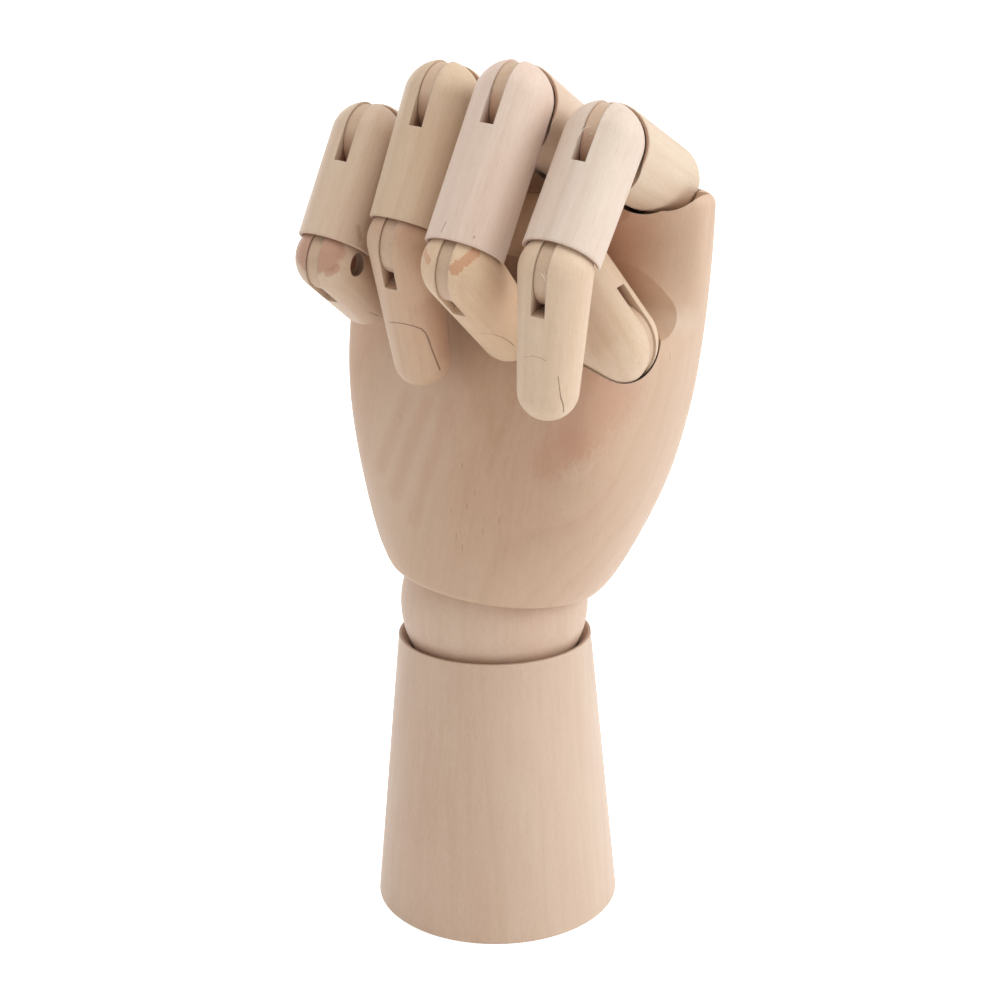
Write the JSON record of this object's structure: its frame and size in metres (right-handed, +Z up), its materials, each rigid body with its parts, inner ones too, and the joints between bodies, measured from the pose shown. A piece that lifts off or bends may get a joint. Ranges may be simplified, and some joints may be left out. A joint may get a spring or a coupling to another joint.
{
  "type": "wooden hand mannequin",
  "caption": "Jointed wooden hand on a turned forearm stand, for drawing or display, with hinged fingers and thumb and a ball wrist that hold the pose they are put in.",
  "frame": {"origin": "centre of the stand's foot, on the surface it stands on", "axes": "+Z up along the stand, the palm faces -Y and the thumb is on the +X side; the rest pose is the pictured fist"},
  "size_m": [0.075, 0.0728, 0.1708],
  "materials": {
    "pale_wood": "fine sanded, unvarnished",
    "palm_wood": "fine sanded, unvarnished",
    "tongue_wood": "sawn, unvarnished",
    "steel": "plain wire"
  },
  "bodies": {
    "stand": {"forearm_stand": "palm_wood", "stand_plug": "tongue_wood", "wrist_spring": "steel", "spring_cross_pin": "steel"},
    "wrist_ball": {"wrist_ball": "palm_wood"},
    "wrist_eye": {"wrist_screw_eye": "steel"},
    "palm": {"palm": "palm_wood", "index_proximal_tongue": "tongue_wood", "middle_proximal_tongue": "tongue_wood", "ring_proximal_tongue": "tongue_wood", "little_proximal_tongue": "tongue_wood", "thumb_proximal_tongue": "tongue_wood"},
    "index_proximal": {"index_proximal": "pale_wood", "index_proximal_pin": "steel", "index_medial_tongue": "tongue_wood"},
    "index_medial": {"index_medial": "pale_wood", "index_medial_pin": "steel", "index_distal_tongue": "tongue_wood"},
    "index_distal": {"index_distal": "pale_wood", "index_distal_pin": "steel"},
    "middle_proximal": {"middle_proximal": "pale_wood", "middle_proximal_pin": "steel", "middle_medial_tongue": "tongue_wood"},
    "middle_medial": {"middle_medial": "pale_wood", "middle_medial_pin": "steel", "middle_distal_tongue": "tongue_wood"},
    "middle_distal": {"middle_distal": "pale_wood", "middle_distal_pin": "steel"},
    "ring_proximal": {"ring_proximal": "pale_wood", "ring_proximal_pin": "steel", "ring_medial_tongue": "tongue_wood"},
    "ring_medial": {"ring_medial": "pale_wood", "ring_medial_pin": "steel", "ring_distal_tongue": "tongue_wood"},
    "ring_distal": {"ring_distal": "pale_wood", "ring_distal_pin": "steel"},
    "little_proximal": {"little_proximal": "pale_wood", "little_proximal_pin": "steel", "little_medial_tongue": "tongue_wood"},
    "little_medial": {"little_medial": "pale_wood", "little_medial_pin": "steel", "little_distal_tongue": "tongue_wood"},
    "little_distal": {"little_distal": "pale_wood", "little_distal_pin": "steel"},
    "thumb_proximal": {"thumb_proximal": "pale_wood", "thumb_proximal_pin": "steel", "thumb_distal_tongue": "tongue_wood"},
    "thumb_distal": {"thumb_distal": "pale_wood", "thumb_distal_pin": "steel"}
  },
  "joints": [
    {"name": "wrist_lean", "type": "hinge", "parent": "stand", "child": "wrist_ball", "pos_m": [0, 0, 0.064], "axis": [0, 1, 0], "range_deg": [-22, 8]},
    {"name": "wrist_nod", "type": "hinge", "parent": "wrist_ball", "child": "wrist_eye", "pos_m": [0, 0, 0.064], "axis": [1, 0, 0], "range_deg": [-14, 14]},
    {"name": "wrist_turn", "type": "hinge", "parent": "wrist_eye", "child": "palm", "pos_m": [0, 0, 0.064], "axis": [0.1374, 0, 0.9905], "range_deg": [-90, 90]},
    {"name": "index_knuckle", "type": "hinge", "parent": "palm", "child": "index_proximal", "pos_m": [0.03393, 0.002, 0.14884], "axis": [0.9905, 0, -0.1374], "range_deg": [-73, 0]},
    {"name": "index_middle_joint", "type": "hinge", "parent": "index_proximal", "child": "index_medial", "pos_m": [0.03514, -0.02699, 0.15757], "axis": [0.9905, 0, -0.1374], "range_deg": [-74, 3]},
    {"name": "index_tip_joint", "type": "hinge", "parent": "index_medial", "child": "index_distal", "pos_m": [0.03244, -0.03944, 0.13806], "axis": [0.9905, 0, -0.1374], "range_deg": [-40, 14]},
    {"name": "middle_knuckle", "type": "hinge", "parent": "palm", "child": "middle_proximal", "pos_m": [0.01793, 0.002, 0.15318], "axis": [0.9905, 0, -0.1374], "range_deg": [-70, 0]},
    {"name": "middle_middle_joint", "type": "hinge", "parent": "middle_proximal", "child": "middle_medial", "pos_m": [0.01944, -0.02848, 0.16405], "axis": [0.9905, 0, -0.1374], "range_deg": [-83, 0]},
    {"name": "middle_tip_joint", "type": "hinge", "parent": "middle_medial", "child": "middle_distal", "pos_m": [0.01583, -0.04151, 0.13806], "axis": [0.9905, 0, -0.1374], "range_deg": [-82, 0]},
    {"name": "ring_knuckle", "type": "hinge", "parent": "palm", "child": "ring_proximal", "pos_m": [0.00223, 0.002, 0.15354], "axis": [0.9905, 0, -0.1374], "range_deg": [-68, 0]},
    {"name": "ring_middle_joint", "type": "hinge", "parent": "ring_proximal", "child": "ring_medial", "pos_m": [0.00364, -0.02437, 0.16373], "axis": [0.9905, 0, -0.1374], "range_deg": [-89, 0]},
    {"name": "ring_tip_joint", "type": "hinge", "parent": "ring_medial", "child": "ring_distal", "pos_m": [0.00041, -0.03352, 0.14047], "axis": [0.9905, 0, -0.1374], "range_deg": [-47, 8]},
    {"name": "little_knuckle", "type": "hinge", "parent": "palm", "child": "little_proximal", "pos_m": [-0.01365, 0.002, 0.14898], "axis": [0.9905, 0, -0.1374], "range_deg": [-72, 0]},
    {"name": "little_middle_joint", "type": "hinge", "parent": "little_proximal", "child": "little_medial", "pos_m": [-0.01258, -0.02303, 0.15666], "axis": [0.9905, 0, -0.1374], "range_deg": [-82, 0]},
    {"name": "little_tip_joint", "type": "hinge", "parent": "little_medial", "child": "little_distal", "pos_m": [-0.01539, -0.03243, 0.13641], "axis": [0.9905, 0, -0.1374], "range_deg": [-82, 0]},
    {"name": "thumb_swing", "type": "hinge", "parent": "palm", "child": "thumb_proximal", "pos_m": [0.03163, -0.0136, 0.1217], "axis": [-0.1028, -0.9821, -0.1577], "range_deg": [-8, 3]},
    {"name": "thumb_tip_joint", "type": "hinge", "parent": "thumb_proximal", "child": "thumb_distal", "pos_m": [0.01864, -0.01547, 0.14179], "axis": [-0.1028, -0.9821, -0.1577], "range_deg": [-10, 3]}
  ]
}
